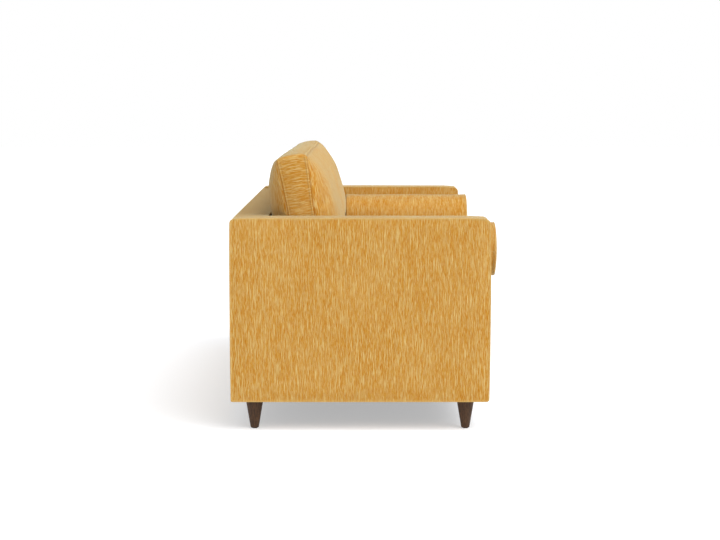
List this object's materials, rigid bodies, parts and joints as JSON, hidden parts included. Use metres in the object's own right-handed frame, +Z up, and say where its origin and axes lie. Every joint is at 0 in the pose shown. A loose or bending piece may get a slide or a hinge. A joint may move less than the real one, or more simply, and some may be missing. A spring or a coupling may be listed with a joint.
{
  "type": "sofa",
  "caption": "Boxy fabric sofa with square arms, loose seat and back cushions and end bolsters, standing on tapered round wooden legs.",
  "frame": {"origin": "on the floor under the middle of the bounding box", "axes": "+X along the sofa to the right-hand arm as seen from the front, +Z up; the front faces -Y"},
  "size_m": [2.134, 0.886, 0.9082],
  "materials": {
    "cover_fabric": "slubbed mustard-yellow chenille weave, lighter on the high yarns",
    "cushion_filling": "cushion filling, foam with a fibre wrap",
    "fibre_padding": "bonded polyester fibre",
    "deck_lining": "plain dark gold lining cloth",
    "dust_cloth": "black non-woven cloth",
    "webbing": "elastic webbing",
    "frame_wood": "sawn softwood and plywood",
    "panel_board": "thin plywood board",
    "leg_wood": "dark walnut, satin lacquer",
    "zinc_steel": "zinc-plated steel",
    "spring_steel": "drawn spring steel",
    "glide_plastic": "moulded nylon"
  },
  "bodies": {
    "frame": {"arm_bolts": "zinc_steel", "back_cover": "cover_fabric", "back_padding": "fibre_padding", "back_panel": "panel_board", "back_posts": "frame_wood", "back_top_rail": "frame_wood", "back_webbing": "webbing", "center_stretcher": "frame_wood", "corner_blocks": "frame_wood", "deck_cloth": "deck_lining", "deck_pad": "fibre_padding", "dust_cover": "dust_cloth", "front_border_cover": "cover_fabric", "front_border_padding": "fibre_padding", "front_rail": "frame_wood", "glides": "glide_plastic", "left_arm_bottom_board": "frame_wood", "left_arm_cover": "cover_fabric", "left_arm_inner_panel": "panel_board", "left_arm_outer_panel": "panel_board", "left_arm_padding": "fibre_padding", "left_arm_posts": "frame_wood", "left_arm_top_board": "frame_wood", "left_side_rail": "frame_wood", "leg_bolts": "zinc_steel", "leg_front_left": "leg_wood", "leg_front_right": "leg_wood", "leg_rear_left": "leg_wood", "leg_rear_right": "leg_wood", "rear_rail": "frame_wood", "right_arm_bottom_board": "frame_wood", "right_arm_cover": "cover_fabric", "right_arm_inner_panel": "panel_board", "right_arm_outer_panel": "panel_board", "right_arm_padding": "fibre_padding", "right_arm_posts": "frame_wood", "right_arm_top_board": "frame_wood", "right_side_rail": "frame_wood", "seat_springs": "spring_steel", "spring_clips": "spring_steel", "spring_tie_wires": "spring_steel", "tee_nuts": "zinc_steel"},
    "left_seat_cushion": {"left_seat_cushion_core": "cushion_filling", "left_seat_cushion_cover": "cover_fabric"},
    "left_back_cushion": {"left_back_cushion_core": "cushion_filling", "left_back_cushion_cover": "cover_fabric"},
    "left_bolster": {"left_bolster_core": "cushion_filling", "left_bolster_cover": "cover_fabric"},
    "right_seat_cushion": {"right_seat_cushion_core": "cushion_filling", "right_seat_cushion_cover": "cover_fabric"},
    "right_back_cushion": {"right_back_cushion_core": "cushion_filling", "right_back_cushion_cover": "cover_fabric"},
    "right_bolster": {"right_bolster_core": "cushion_filling", "right_bolster_cover": "cover_fabric"}
  },
  "joints": [
    {"name": "left_back_cushion_lift", "type": "slide", "parent": "frame", "child": "left_back_cushion", "axis": [0, 0.1564, 0.9877], "range_m": [0, 0.45]},
    {"name": "left_seat_cushion_pull", "type": "slide", "parent": "frame", "child": "left_seat_cushion", "axis": [0, -1, 0], "range_m": [0, 0.35]},
    {"name": "left_bolster_lift", "type": "slide", "parent": "frame", "child": "left_bolster", "axis": [0, 0, 1], "range_m": [0, 0.3]},
    {"name": "right_back_cushion_lift", "type": "slide", "parent": "frame", "child": "right_back_cushion", "axis": [0, 0.1564, 0.9877], "range_m": [0, 0.45]},
    {"name": "right_seat_cushion_pull", "type": "slide", "parent": "frame", "child": "right_seat_cushion", "axis": [0, -1, 0], "range_m": [0, 0.35]},
    {"name": "right_bolster_lift", "type": "slide", "parent": "frame", "child": "right_bolster", "axis": [0, 0, 1], "range_m": [0, 0.3]}
  ]
}
